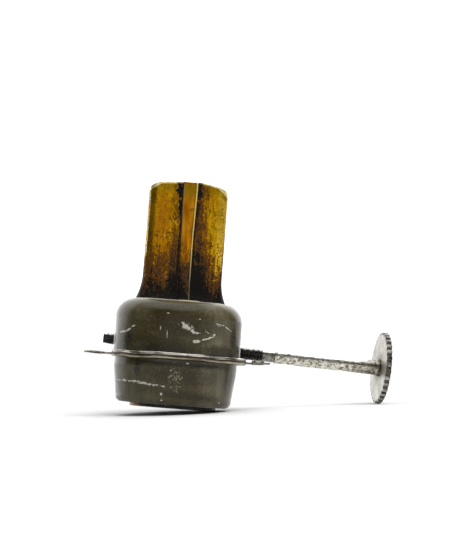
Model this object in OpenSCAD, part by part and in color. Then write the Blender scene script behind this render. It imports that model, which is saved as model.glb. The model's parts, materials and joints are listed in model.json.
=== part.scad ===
// Flat-wick burner with a side winder.
// A brass wick tube stands in a drum made of two drawn shells, crimped together over a
// flange plate with two ears. A spindle behind the wick carries two cogs that bite into
// the wick through windows in the tube, and a thumb wheel on a long stem turns it.
// +Z runs up the wick tube, +X along the winder towards its thumb wheel, and z = 0 is the
// underside of the foot disc. All lengths are in millimetres.

/* [Wick tube] */
// Width of the flat wick's path inside the tube
wick_w = 25.7; // [20:0.1:31]
// Depth of the wick's path inside the tube
wick_gap = 5; // [4.6:0.1:6.4]
// Thickness of the tube's sheet brass
tube_wall = 0.5; // [0.4:0.05:0.8]
// Height of the tube's mouth above the foot
tube_h = 75.7; // [60:0.1:95]
// Radius of the rounded corners of the mouth, seen from the front
mouth_corner_r = 10; // [8:0.5:12]
// Half width of the straight part of the mouth
mouth_flat = 7; // [5:0.5:8]

/* [Seam strip] */
// Distance of the strip's straight edge from the tube's centre line
seam_edge = 2.3; // [1.5:0.1:4]
// Width of the strip at the mouth
seam_w_top = 4.7; // [4:0.1:7]
// Width of the strip at the foot
seam_w_foot = 3.6; // [3:0.1:6]
// How far the strip stands off the tube
seam_t = 0.7; // [0.4:0.05:1]

/* [Skirt] */
// Height of the flared skirt round the tube's foot
skirt_h = 8; // [5:0.5:10]
// How far the skirt flares out at the drum
skirt_flare = 1.8; // [1.2:0.1:2.4]
// Thickness of the skirt's upper edge
skirt_lip = 0.25; // [0.2:0.05:0.5]

/* [Drum] */
// Outer radius of the upper shell
drum_r = 21.2; // [20.8:0.1:26]
// Height of the drum's top above the foot
drum_top = 35.6; // [32:0.1:42]
// Radius of the drum's top shoulder
shoulder_r = 6; // [3:0.5:6]
// Thickness of the shells' sheet steel
sheet = 0.5; // [0.4:0.05:0.6]
// How much narrower the lower shell's neck is than the upper shell
neck_step = 0.8; // [0.4:0.1:1.2]
// Length of the straight neck below the rim
neck_h = 3; // [2:0.5:5]
// How much the lower shell tapers in, from the neck to the bottom
taper = 1.3; // [0.5:0.1:2]
// Radius of the lower shell's bottom corner
bottom_r = 2; // [1:0.25:3]

/* [Flange] */
// Height of the flange plate's underside above the foot
flange_z = 16.4; // [14:0.1:20]
// Thickness of the flange plate
flange_t = 0.6; // [0.5:0.05:0.8]
// How far the crimped rim stands out from the upper shell
rim_out = 1.3; // [1:0.1:2]
// Clear radial gap between the curl of the rim and the upper shell
curl_gap = 0.15; // [0.1:0.05:0.3]
// Radius of the opening in the middle of the flange plate
plate_hole_r = 16.5; // [15.5:0.1:18]
// Distance of each ear hole from the tube's centre line, beyond the drum's radius
ear_reach = 6; // [5.2:0.1:8]
// Radius of the ears' rounded ends
ear_r = 4.2; // [3.4:0.1:5]
// Radius of the holes through the ear eyelets
ear_hole_r = 1.5; // [1:0.05:2]
// Wall of the eyelets' barrels
eyelet_wall = 0.35; // [0.25:0.05:0.5]
// How far the eyelets' rolled heads spread beyond the barrel
eyelet_spread = 0.7; // [0.5:0.05:0.9]
// Height of the eyelets' rolled heads
eyelet_head = 0.8; // [0.4:0.05:1.2]

/* [Foot disc] */
// Thickness of the foot disc
foot_t = 1.1; // [0.8:0.1:2]
// Rim left outside the wick slot in the foot disc
foot_rim = 1; // [0.8:0.1:2]

/* [Winder] */
// How far the winder slopes down towards its thumb wheel, in degrees
winder_slope = 1.85; // [0:0.05:2.2]
// Radius of the spindle
spindle_r = 1.5; // [1.2:0.05:1.8]
// Radial running clearance of the spindle in its bearings
run_gap = 0.05; // [0.02:0.01:0.08]
// Gap between the spindle and the back of the wick tube
tube_gap = 1.5; // [1:0.1:2]
// How far the cogs' teeth reach into the wick's path
cog_bite = 0.8; // [0.4:0.05:0.85]
// Thickness of each cog
cog_t = 2; // [1:0.1:3]
// Distance of each cog's middle from the tube's centre line
cog_x = 6.5; // [4:0.1:9]
// Depth of the cogs' teeth
tooth_h = 1.1; // [0.6:0.1:1.4]
// Number of teeth on each cog
teeth = 12; // [8:1:16]
// Clearance round the cogs in the tube's windows
window_gap = 0.5; // [0.3:0.1:1]

/* [Bearings] */
// Wall of the bearing necks that pass through the drum
neck_wall = 0.4; // [0.3:0.05:0.6]
// Wall of the gland nut and the end bearing outside their threads
nut_wall = 0.35; // [0.3:0.05:0.6]
// How far the end bearing sticks out of the drum
stub_len = 4; // [3:0.1:6]
// Radius of the end bearing's outer end
stub_tip_r = 1.85; // [1.8:0.05:2]
// Depth of the lock nuts inside the drum
lock_len = 1.6; // [1:0.1:2.4]
// Radial thickness of the lock nuts inside the drum
lock_wall = 1.1; // [0.8:0.1:1.6]
// Length of the gland nut
gland_len = 8.4; // [5:0.1:11]
// Length of the packing in the gland nut
packing_len = 1.5; // [1:0.1:2]
// Thickness of the gland nut's end wall
gland_end = 1; // [0.8:0.1:1.5]

/* [Stem] */
// Radius of the smooth collar next to the gland
collar_r = 2.15; // [1.9:0.05:2.2]
// Length of the smooth collar
collar_len = 4.35; // [3:0.05:7]
// Radius of the long sleeve
sleeve_r = 2.5; // [2.1:0.05:2.6]
// Distance of the thumb wheel's inner face from the tube's centre line
wheel_x = 70.6; // [60:0.1:90]

/* [Thumb wheel] */
// Radius of the thumb wheel
wheel_r = 12.1; // [9:0.1:15]
// Thickness of the thumb wheel
wheel_t = 1.8; // [1.2:0.1:2.6]
// Number of notches round the thumb wheel
notches = 32; // [20:1:44]
// Radius of each notch
notch_r = 0.75; // [0.4:0.05:0.9]
// Depth of each notch
notch_depth = 0.5; // [0.2:0.05:0.6]
// Radius of the hub on the wheel's inner face
hub_r = 2.9; // [2.6:0.1:4]
// Length of the hub
hub_len = 1.6; // [1:0.1:3]
// Thickness of the washer under the riveted end
end_washer_t = 0.5; // [0.3:0.1:1]
// Height of the riveted end of the spindle
rivet_h = 0.8; // [0.5:0.1:1.2]

/* [Hidden] */
$fn = 96;

// A hair more than nothing, so that cuts pass right through
over = 0.5;
// Axial play of the spindle at each end
end_play = 0.15;
// Gap between the rim and the gland nut above it
rim_gap = 0.1;

// Wick tube
tube_w = wick_w + 2 * tube_wall;
tube_d = wick_gap + 2 * tube_wall;
tube_foot_z = 0.3;
skirt_arc_r = (skirt_h * skirt_h + skirt_flare * skirt_flare) / (2 * skirt_flare);

// Rim: the lower shell's lip, the flange plate and the upper shell's lip, with a curl over all
rim_r = drum_r + rim_out;
rim_in_r = rim_r - sheet;
plate_r = rim_in_r - 0.05;
lip_z = flange_z + flange_t;
curl_z = lip_z + sheet;
rim_top = curl_z + sheet;
neck_r = drum_r - neck_step;
ear_x = drum_r + ear_reach;
barrel_r = ear_hole_r + eyelet_wall;

// Winder axis: behind the wick tube, sloping down over the rim and just clear of it.
// axis_z is its height on the tube's centre line.
neck_out_r = spindle_r + run_gap + neck_wall;
gland_r = neck_out_r + nut_wall;
lock_r = neck_out_r + lock_wall;
axis_y = tube_d / 2 + tube_gap + spindle_r;
axis_z = rim_top + gland_r + rim_gap + rim_r * tan(winder_slope);
cog_r = axis_y - wick_gap / 2 + cog_bite;
root_r = cog_r - tooth_h;
window_h = 2 * (sqrt(pow(cog_r, 2) - pow(axis_y - tube_d / 2, 2)) + window_gap);

// Stations along the winder
wall_x = sqrt(pow(drum_r, 2) - pow(axis_y, 2));
stub_x = -(wall_x + stub_len);
spindle_start = stub_x + nut_wall + 1;
lock_x = sqrt(pow(drum_r - sheet, 2) - pow(axis_y + lock_r, 2)) - lock_len;
washer_end = sqrt(pow(drum_r, 2) - pow(axis_y - gland_r, 2)) + 0.3;
gland_end_x = washer_end + gland_len;
packing_x = gland_end_x - gland_end - packing_len;
collar_x = gland_end_x + end_play;
sleeve_x = collar_x + collar_len;
hub_x = wheel_x - hub_len;
washer_x = wheel_x + wheel_t;
rivet_x = washer_x + end_washer_t;
rivet_r = spindle_r + 0.8;

// ---- shared shapes ----

// Lays a shape's Z axis along the sloping winder axis, starting at station x
module on_axis(x = 0) {
    translate([0, axis_y, axis_z]) rotate([0, 90 + winder_slope, 0]) translate([0, 0, x]) children();
}

// Round-ended outline across the wick tube
module stadium(w, d) {
    square([w - d, d], center = true);
    for (side = [-1, 1]) translate([side * (w - d) / 2, 0]) circle(d = d);
}

// Sweeps a profile of distance and height round the wick tube's centre line
module round_tube(w, d) {
    for (side = [0, 180]) rotate([0, 0, side]) {
        translate([(w - d) / 2, 0, 0]) rotate([0, 0, -90]) rotate_extrude(angle = 180) children();
        translate([-(w - d) / 2, 0, 0]) rotate([90, 0, 90]) linear_extrude(w - d) children();
    }
}

// The drum as a plain round solid, to fit pieces against its wall
module drum_solid(r) {
    cylinder(r = r, h = drum_top + over);
}

// Half section of the upper shell's outside, shrunk by an inset
module upper_section(inset) {
    r = drum_r - inset;
    top = drum_top - inset;
    corner = shoulder_r - inset;
    translate([0, lip_z]) square([r, top - corner - lip_z]);
    translate([0, lip_z]) square([r - corner, top - lip_z]);
    translate([r - corner, top - corner]) circle(r = corner);
}

// Half section of the lower shell's outside, shrunk by an inset
module lower_section(inset) {
    r = neck_r - inset;
    low_r = r - taper;
    low = foot_t + inset;
    corner = bottom_r - inset;
    neck_z = flange_z - neck_h;
    translate([0, neck_z]) square([r, flange_z - neck_z]);
    polygon([[0, low + corner], [low_r, low + corner], [r, neck_z], [0, neck_z]]);
    translate([0, low]) square([low_r - corner, corner]);
    translate([low_r - corner, low + corner]) circle(r = corner);
}

// Toothed outline of a cog
function tooth_point(i) =
    let (a = 360 * i / (4 * teeth), r = (i % 4 < 2) ? cog_r : root_r, lean = (i % 4 < 2) ? 0.6 : 0)
    [r * cos(a + lean * (i % 2 == 0 ? 1 : -1) * 360 / (8 * teeth)),
     r * sin(a + lean * (i % 2 == 0 ? 1 : -1) * 360 / (8 * teeth))];

module cog_at(x) {
    on_axis(x - cog_t / 2) linear_extrude(cog_t) difference() {
        polygon([for (i = [0:4 * teeth - 1]) tooth_point(i)]);
        circle(r = spindle_r);
    }
}

// A saddle-backed ring seated on the drum wall: outside or inside it
module lock_ring(side) {
    intersection() {
        on_axis(side > 0 ? lock_x : -wall_x - lock_len) difference() {
            cylinder(r = lock_r, h = wall_x + lock_len - lock_x);
            translate([0, 0, -over]) cylinder(r = neck_out_r, h = wall_x + 2 * lock_len);
        }
        drum_solid(drum_r - sheet);
    }
}

// ---- the drum ----

module upper_shell() {
    color("#5c5a4c") difference() {
        union() {
            rotate_extrude() difference() {
                upper_section(0);
                translate([0, -over]) square([drum_r - sheet, lip_z + over + 0.001]);
                upper_section(sheet);
            }
            translate([0, 0, lip_z]) difference() {
                cylinder(r = plate_r, h = sheet);
                translate([0, 0, -over]) cylinder(r = drum_r - sheet, h = sheet + 2 * over);
            }
        }
        translate([0, 0, drum_top - 2 * sheet]) linear_extrude(4 * sheet) stadium(tube_w, tube_d);
        on_axis(-drum_r - over) cylinder(r = neck_out_r, h = 2 * (drum_r + over));
    }
}

module lower_shell() {
    slot_w = 2 * (ear_r + 0.1);
    color("#585648") difference() {
        union() {
            rotate_extrude() difference() {
                lower_section(0);
                lower_section(sheet);
                translate([0, flange_z - sheet - 0.001]) square([neck_r - sheet, sheet + over]);
            }
            rotate_extrude() union() {
                translate([neck_r - sheet, flange_z - sheet]) square([rim_r - neck_r + sheet, sheet]);
                translate([rim_in_r, flange_z - sheet]) square([sheet, rim_top - flange_z + sheet]);
                translate([drum_r + curl_gap, curl_z]) square([rim_r - drum_r - curl_gap, sheet]);
            }
        }
        translate([0, 0, foot_t - over]) linear_extrude(sheet + 2 * over) stadium(tube_w, tube_d);
        translate([-2 * drum_r, -slot_w / 2, flange_z]) cube([4 * drum_r, slot_w, flange_t]);
    }
}

module flange_plate() {
    color("#b4afa2") translate([0, 0, flange_z]) linear_extrude(flange_t) difference() {
        union() {
            circle(r = plate_r);
            square([2 * ear_x, 2 * ear_r], center = true);
            for (side = [-1, 1]) translate([side * ear_x, 0]) circle(r = ear_r);
        }
        circle(r = plate_hole_r);
        for (side = [-1, 1]) translate([side * ear_x, 0]) circle(r = barrel_r);
    }
}

module ear_eyelets() {
    head_r = barrel_r + eyelet_spread;
    foot_h = eyelet_head / 2;
    color("#c9c4b8") for (side = [-1, 1]) translate([side * ear_x, 0, flange_z]) difference() {
        union() {
            translate([0, 0, -foot_h]) cylinder(r = head_r, h = foot_h);
            cylinder(r = barrel_r, h = flange_t);
            translate([0, 0, flange_t]) cylinder(r1 = head_r, r2 = barrel_r, h = eyelet_head);
        }
        translate([0, 0, -flange_t - eyelet_head]) cylinder(r = ear_hole_r, h = 4 * flange_t + 4 * eyelet_head);
    }
}

module foot_disc() {
    color("#1f1c18") linear_extrude(foot_t) difference() {
        circle(r = tube_w / 2 + foot_rim);
        stadium(tube_w, tube_d);
    }
}

// ---- the wick tube ----

// Front outline of the tube, with its rounded mouth corners
module mouth_outline() {
    reach = tube_w / 2 + over;
    translate([-mouth_flat, 0]) square([2 * mouth_flat, tube_h]);
    translate([-reach, 0]) square([2 * reach, tube_h - mouth_corner_r]);
    for (side = [-1, 1]) translate([side * mouth_flat, tube_h - mouth_corner_r]) circle(r = mouth_corner_r);
}

module wick_tube() {
    color("#b98e1f") difference() {
        intersection() {
            translate([0, 0, tube_foot_z]) linear_extrude(tube_h) difference() {
                stadium(tube_w, tube_d);
                stadium(wick_w, wick_gap);
            }
            translate([0, tube_d, 0]) rotate([90, 0, 0]) linear_extrude(2 * tube_d) mouth_outline();
        }
        for (x = [-cog_x, cog_x])
            translate([x - cog_t / 2 - window_gap, 0, axis_z - x * tan(winder_slope) - window_h / 2])
                cube([cog_t + 2 * window_gap, tube_d, window_h]);
    }
}

// Half section of the skirt: how far it stands off the tube against height above the drum
module skirt_section(extra = 0) {
    translate([tube_d / 2, 0]) difference() {
        square([skirt_flare + extra, skirt_h]);
        translate([skirt_arc_r + skirt_lip + extra, skirt_h]) circle(r = skirt_arc_r);
    }
}

// The seam strip's front outline as a solid in front of the tube
module seam_prism(depth) {
    translate([0, -tube_d / 2, 0]) rotate([90, 0, 0]) linear_extrude(depth) polygon([
        [seam_edge - seam_w_foot, drum_top], [seam_edge, drum_top],
        [seam_edge, tube_h], [seam_edge - seam_w_top, tube_h]
    ]);
}

module seam_strip() {
    color("#c79a2a") intersection() {
        seam_prism(2 * skirt_flare);
        union() {
            translate([-tube_w / 2, -tube_d / 2 - seam_t, drum_top]) cube([tube_w, seam_t, tube_h - drum_top]);
            translate([tube_w / 2, 0, drum_top]) rotate([90, 0, -90]) linear_extrude(tube_w)
                skirt_section(skirt_lip);
        }
    }
}

module tube_skirt() {
    color("#8a6a1c") difference() {
        translate([0, 0, drum_top]) round_tube(tube_w, tube_d) skirt_section();
        seam_prism(2 * skirt_flare);
    }
}

// ---- bearings in the drum wall ----

module end_bearing() {
    color("#141312") difference() {
        union() {
            difference() {
                on_axis(stub_x) cylinder(r1 = stub_tip_r, r2 = gland_r, h = stub_len + drum_r - wall_x, $fn = 8);
                drum_solid(drum_r);
            }
            on_axis(-wall_x - nut_wall) cylinder(r = neck_out_r, h = wall_x + nut_wall - lock_x + over);
        }
        on_axis(spindle_start - end_play) cylinder(r = spindle_r + run_gap, h = wall_x + stub_len);
    }
}

module end_lock_nut() {
    color("#6d6a62") lock_ring(-1);
}

module gland_body() {
    color("#77746b") on_axis(lock_x - over) difference() {
        cylinder(r = neck_out_r, h = packing_x - lock_x + over);
        translate([0, 0, -over]) cylinder(r = spindle_r + run_gap, h = packing_x - lock_x + 3 * over);
    }
}

module gland_lock_nut() {
    color("#6d6a62") lock_ring(1);
}

module gland_washer() {
    color("#1a1917") difference() {
        on_axis(wall_x - 1) cylinder(r = gland_r, h = washer_end - wall_x + 1);
        drum_solid(drum_r);
        on_axis(wall_x - 2) cylinder(r = neck_out_r, h = washer_end);
    }
}

module gland_packing() {
    color("#3a352c") on_axis(packing_x) difference() {
        cylinder(r = neck_out_r, h = packing_len);
        translate([0, 0, -over]) cylinder(r = spindle_r + run_gap, h = packing_len + 2 * over);
    }
}

module gland_nut() {
    grips = 16;
    color("#161513") on_axis(washer_end) difference() {
        linear_extrude(gland_len) difference() {
            circle(r = gland_r);
            for (i = [0:grips - 1]) rotate(360 * i / grips) translate([gland_r + 0.12, 0]) circle(r = 0.22);
        }
        translate([0, 0, -over]) cylinder(r = neck_out_r, h = gland_len - gland_end + over);
        cylinder(r = spindle_r + 2 * run_gap, h = gland_len + over);
    }
}

// ---- the winder ----

module winder_spindle() {
    color("#9a978e") union() {
        on_axis(spindle_start) cylinder(r = spindle_r, h = rivet_x + rivet_h / 2 - spindle_start);
        on_axis(rivet_x) cylinder(r1 = rivet_r, r2 = rivet_r - rivet_h / 2, h = rivet_h);
    }
}

module cog_left() {
    color("#a98a3a") cog_at(-cog_x);
}

module cog_right() {
    color("#a98a3a") cog_at(cog_x);
}

// Ring pressed on the spindle between two stations
module spindle_ring(x0, x1, r) {
    on_axis(x0) difference() {
        cylinder(r = r, h = x1 - x0);
        translate([0, 0, -over]) cylinder(r = spindle_r, h = x1 - x0 + 2 * over);
    }
}

module cog_spacer() {
    color("#8f8c84") spindle_ring(-cog_x + cog_t / 2, cog_x - cog_t / 2, spindle_r + 0.5);
}

module stem_collar() {
    color("#a5a298") spindle_ring(collar_x, sleeve_x, collar_r);
}

module stem_sleeve() {
    color("#b1aea4") spindle_ring(sleeve_x, hub_x, sleeve_r);
}

module wheel_hub() {
    color("#b9b6ac") on_axis(hub_x) difference() {
        cylinder(r1 = sleeve_r + 0.2, r2 = hub_r, h = hub_len);
        translate([0, 0, -over]) cylinder(r = spindle_r, h = hub_len + 2 * over);
    }
}

module thumb_wheel() {
    color("#cdcbc2") on_axis(wheel_x) linear_extrude(wheel_t) difference() {
        circle(r = wheel_r);
        for (i = [0:notches - 1]) rotate(360 * i / notches)
            translate([wheel_r + notch_r - notch_depth, 0]) circle(r = notch_r);
        circle(r = spindle_r);
    }
}

module end_washer() {
    color("#bdbab0") spindle_ring(washer_x, rivet_x, rivet_r + 0.4);
}

upper_shell();
lower_shell();
flange_plate();
ear_eyelets();
foot_disc();
wick_tube();
seam_strip();
tube_skirt();
end_bearing();
end_lock_nut();
gland_body();
gland_lock_nut();
gland_washer();
gland_packing();
gland_nut();
winder_spindle();
cog_left();
cog_right();
cog_spacer();
stem_collar();
stem_sleeve();
wheel_hub();
thumb_wheel();
end_washer();
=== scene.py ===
"""A flat-wick lamp burner: a brass wick tube on a painted drum, with a wick winder through its side.

Lengths are in millimetres until a mesh is made, and in the CAD frame: X along the winder, Z up the
wick tube, the front of the tube towards -Y.
"""
import json
import math

import bmesh
import bpy
import numpy as np
from mathutils import Matrix, Vector


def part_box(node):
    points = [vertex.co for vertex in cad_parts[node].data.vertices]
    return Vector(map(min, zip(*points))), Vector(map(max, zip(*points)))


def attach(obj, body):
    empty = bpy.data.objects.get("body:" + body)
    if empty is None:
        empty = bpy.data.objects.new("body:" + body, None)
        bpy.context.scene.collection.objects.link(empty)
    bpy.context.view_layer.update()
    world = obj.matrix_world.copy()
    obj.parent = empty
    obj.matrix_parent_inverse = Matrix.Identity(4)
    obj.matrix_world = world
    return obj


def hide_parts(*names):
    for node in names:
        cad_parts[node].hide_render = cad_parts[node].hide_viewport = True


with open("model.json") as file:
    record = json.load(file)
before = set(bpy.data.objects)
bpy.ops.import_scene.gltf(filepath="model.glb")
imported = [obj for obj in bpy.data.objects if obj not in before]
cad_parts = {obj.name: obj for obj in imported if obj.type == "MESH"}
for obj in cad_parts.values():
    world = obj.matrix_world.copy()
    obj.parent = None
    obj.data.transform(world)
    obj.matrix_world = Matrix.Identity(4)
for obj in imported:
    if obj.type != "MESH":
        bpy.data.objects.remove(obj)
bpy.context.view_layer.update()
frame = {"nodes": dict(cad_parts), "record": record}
MM = 0.001
TURN = 2 * math.pi


# ---- sizes: most are read from the CAD nodes, and the rest are those of small details ----

def corners(name):
    """Lowest and highest corner of a CAD node, in millimetres."""
    low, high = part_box(name)
    return np.array(low) / MM, np.array(high) / MM


def vertices(name):
    """All the points of a CAD node, in millimetres."""
    mesh = frame["nodes"][name].data
    flat = np.empty(len(mesh.vertices) * 3)
    mesh.vertices.foreach_get("co", flat)
    return flat.reshape(-1, 3) / MM


tube_low, tube_high = corners("wick_tube")
tube_w, tube_d, _ = tube_high - tube_low
tube_top = tube_high[2]
drum_top = corners("upper_shell")[1][2]
rim_r, _, rim_top = corners("lower_shell")[1]
drum_r = rim_r - 1.3
foot_r, _, foot_t = corners("foot_disc")[1]
plate_low, plate_high = corners("flange_plate")
plate_z = plate_low[2]
plate_t = plate_high[2] - plate_z
sheet = 0.5
shoulder_r = 6.0
skirt_h = 8.0
skirt_flare = 1.85
spindle_r = 1.5
shaft_hole_r = 1.9
eyelet_hole_r = 1.5
ear_r = 4.2
ear_x = plate_high[0] - ear_r
ear_bends = {-1: 0.05, 1: 0.55}
ear_shift = 0.5
rim_shift = 0.9

joint = frame["record"]["behaviour"]["joints"][0]
shaft_at = np.array(joint["pos_m"]) / MM
shaft_way = np.array(joint["axis"]) / np.linalg.norm(joint["axis"])
shaft_side = np.array([0.0, 1.0, 0.0])
shaft_up = np.cross(shaft_way, shaft_side)


def station_range(name):
    """First and last station of a CAD node along the winder, in millimetres from the drum's centre."""
    along = (vertices(name) - shaft_at) @ shaft_way
    return along.min(), along.max()


def from_shaft(points):
    """Distance of points from the winder's axis."""
    away = points - shaft_at
    away = away - np.outer(away @ shaft_way, shaft_way)
    return np.linalg.norm(away, axis=1)


def shaft_radius(name):
    """Largest distance of a CAD node from the winder's axis."""
    return from_shaft(vertices(name)).max()


# ---- mesh helpers ----

def ripple(points, seed, size, count=14):
    """Gentle unevenness of a hand-worked sheet, about -1 to 1: the sum of `count` cosines of the place
    along seeded directions, with wavelengths round `size`, over the root of half their number."""
    chance = np.random.default_rng(seed)
    ways = chance.normal(size=(count, 3))
    ways /= np.linalg.norm(ways, axis=1, keepdims=True)
    rates = TURN / (size * chance.uniform(0.7, 1.8, count))
    starts = chance.uniform(0, TURN, count)
    phase = np.asarray(points) @ (ways * rates[:, None]).T + starts
    return np.cos(phase).sum(-1) / math.sqrt(count / 2)


def ease(value, low, high):
    """0 below low and 1 above high, with the smooth step 3t^2 - 2t^3 between."""
    t = np.clip((value - low) / (high - low), 0, 1)
    return t * t * (3 - 2 * t)


def rounded(turns, step=0.25):
    """A line through corners given as (a, b, radius): straight runs, and at each inner corner an arc of
    that radius, tangent to both runs. Points are about `step` apart."""
    places = np.array([t[:2] for t in turns], float)
    line = [places[:1]]
    for here in range(1, len(turns) - 1):
        back = places[here - 1] - places[here]
        ahead = places[here + 1] - places[here]
        back /= np.linalg.norm(back)
        ahead /= np.linalg.norm(ahead)
        half = math.acos(np.clip(back @ ahead, -1, 1)) / 2
        radius = turns[here][2]
        reach = radius / math.tan(half)
        middle = (back + ahead) / np.linalg.norm(back + ahead)
        centre = places[here] + middle * radius / math.sin(half)
        first = places[here] + back * reach - centre
        last = places[here] + ahead * reach - centre
        sweep = math.pi - 2 * half
        parts = max(2, int(math.ceil(radius * sweep / step)))
        share = np.linspace(0, 1, parts + 1)[:, None]
        arc = (np.sin((1 - share) * sweep) * first + np.sin(share * sweep) * last) / math.sin(sweep)
        line.append(centre + arc)
    line.append(places[-1:])
    return even(np.concatenate(line), step)


def even(line, step):
    """The same line with extra points on its long straight runs, so that none is longer than step."""
    filled = [line[:1]]
    for start, end in zip(line[:-1], line[1:]):
        parts = max(1, int(math.ceil(np.linalg.norm(end - start) / step)))
        share = np.linspace(0, 1, parts + 1)[1:, None]
        filled.append(start + (end - start) * share)
    return np.concatenate(filled)


def capped(grid):
    """Closes the two open ends of a tube of rows: a row at each end shrunk to the end row's middle."""
    first, last = (np.broadcast_to(row.mean(1, keepdims=True), row.shape) for row in (grid[:1], grid[-1:]))
    return np.concatenate([first, grid, last])


def add(name, data):
    """Puts a new object in the scene."""
    made = bpy.data.objects.new(name, data)
    bpy.context.scene.collection.objects.link(made)
    return made


def skin(name, grid, body, material, nodes=(), rows_meet=False, columns_meet=True,
         keep=None, wall=0.0, marks=None):
    """Makes a mesh from a grid of points (rows, columns, 3): a four-sided face between neighbours, the
    last row or column joined to the first where they meet, faces left out where keep() of their middles
    says so with the points that only they used, doubled points merged, faces turned to point away from
    the mesh's middle, and a wall thickness added inwards."""
    rows, columns = grid.shape[:2]
    order = np.arange(rows * columns).reshape(rows, columns)
    if rows_meet:
        order = np.vstack([order, order[:1]])
    if columns_meet:
        order = np.hstack([order, order[:, :1]])
    faces = np.stack([order[:-1, :-1], order[:-1, 1:], order[1:, 1:], order[1:, :-1]], -1).reshape(-1, 4)
    points = grid.reshape(-1, 3)
    if keep is not None:
        faces = faces[keep(points[faces].mean(1))]
    spread = points[faces]
    facing = np.cross(spread[:, 2] - spread[:, 0], spread[:, 3] - spread[:, 1])
    if ((spread.mean(1) - points.mean(0)) * facing).sum() < 0:
        faces = faces[:, ::-1]
    used = np.zeros(len(points), bool)
    used[faces] = True
    faces = (np.cumsum(used) - 1)[faces]
    mesh = bpy.data.meshes.new(name)
    mesh.from_pydata((points[used] * MM).tolist(), [], faces.tolist())
    for label, values in (marks or {}).items():
        field = mesh.attributes.new(label, "FLOAT", "POINT")
        field.data.foreach_set("value", np.asarray(values, np.float32).ravel()[used])
    work = bmesh.new()
    work.from_mesh(mesh)
    bmesh.ops.remove_doubles(work, verts=work.verts, dist=1e-7)
    work.to_mesh(mesh)
    work.free()
    mesh.polygons.foreach_set("use_smooth", np.ones(len(mesh.polygons), bool))
    mesh.materials.append(material)
    piece = add(name, mesh)
    if wall:
        thick = piece.modifiers.new("wall", "SOLIDIFY")
        thick.thickness = wall * MM
        thick.offset = -1
        thick.use_even_offset = True
    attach(piece, body)
    if nodes:
        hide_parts(*nodes)
    return piece


def on_shaft(stations, radii, angles):
    """Points round the winder's axis: the axis point at each station, plus radius along the turned
    mixture cos(angle) up + sin(angle) sideways."""
    stations, radii, angles = (np.asarray(v, float)[..., None] for v in (stations, radii, angles))
    across = np.cos(angles) * shaft_up + np.sin(angles) * shaft_side
    return shaft_at + stations * shaft_way + radii * across


def turned(line, count):
    """Carries a line of (a, b) round: a, b and the angle in each of `count` directions."""
    shape = (len(line), count)
    angles = np.linspace(0, TURN, count, endpoint=False)
    return tuple(np.broadcast_to(part, shape) for part in (line[:, :1], line[:, 1:], angles))


def stadium(width, depth, stations, bends=18):
    """Round-ended outline: a straight front and back through the stations, and a half circle at each end.
    Returns its points and the way out of it at each point."""
    half = (width - depth) / 2
    ends = np.linspace(-0.25, 0.25, bends + 1)[1:-1] * TURN
    way = np.stack([np.cos(ends), np.sin(ends)], 1)
    flat = np.zeros((len(stations), 2))
    front = np.stack([stations, np.full(len(stations), -depth / 2)], 1)
    right = way * depth / 2 + [half, 0]
    points = np.concatenate([front, right, -front, -right])
    out = np.concatenate([flat - [0, 1], way, flat + [0, 1], -way])
    return points, out


def slot_edge(angles, width, depth):
    """Distance from the centre to the round-ended outline in each direction: to the straight side where
    the ray meets it, else to the end's circle."""
    half = (width - depth) / 2
    cos, sin = np.abs(np.cos(angles)), np.abs(np.sin(angles))
    straight = depth / 2 / np.maximum(sin, 1e-9)
    inside = np.maximum((depth / 2) ** 2 - (half * sin) ** 2, 0)
    round_end = half * cos + np.sqrt(inside)
    return np.where(straight * cos <= half, straight, round_end)


# ---- finishes ----

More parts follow.
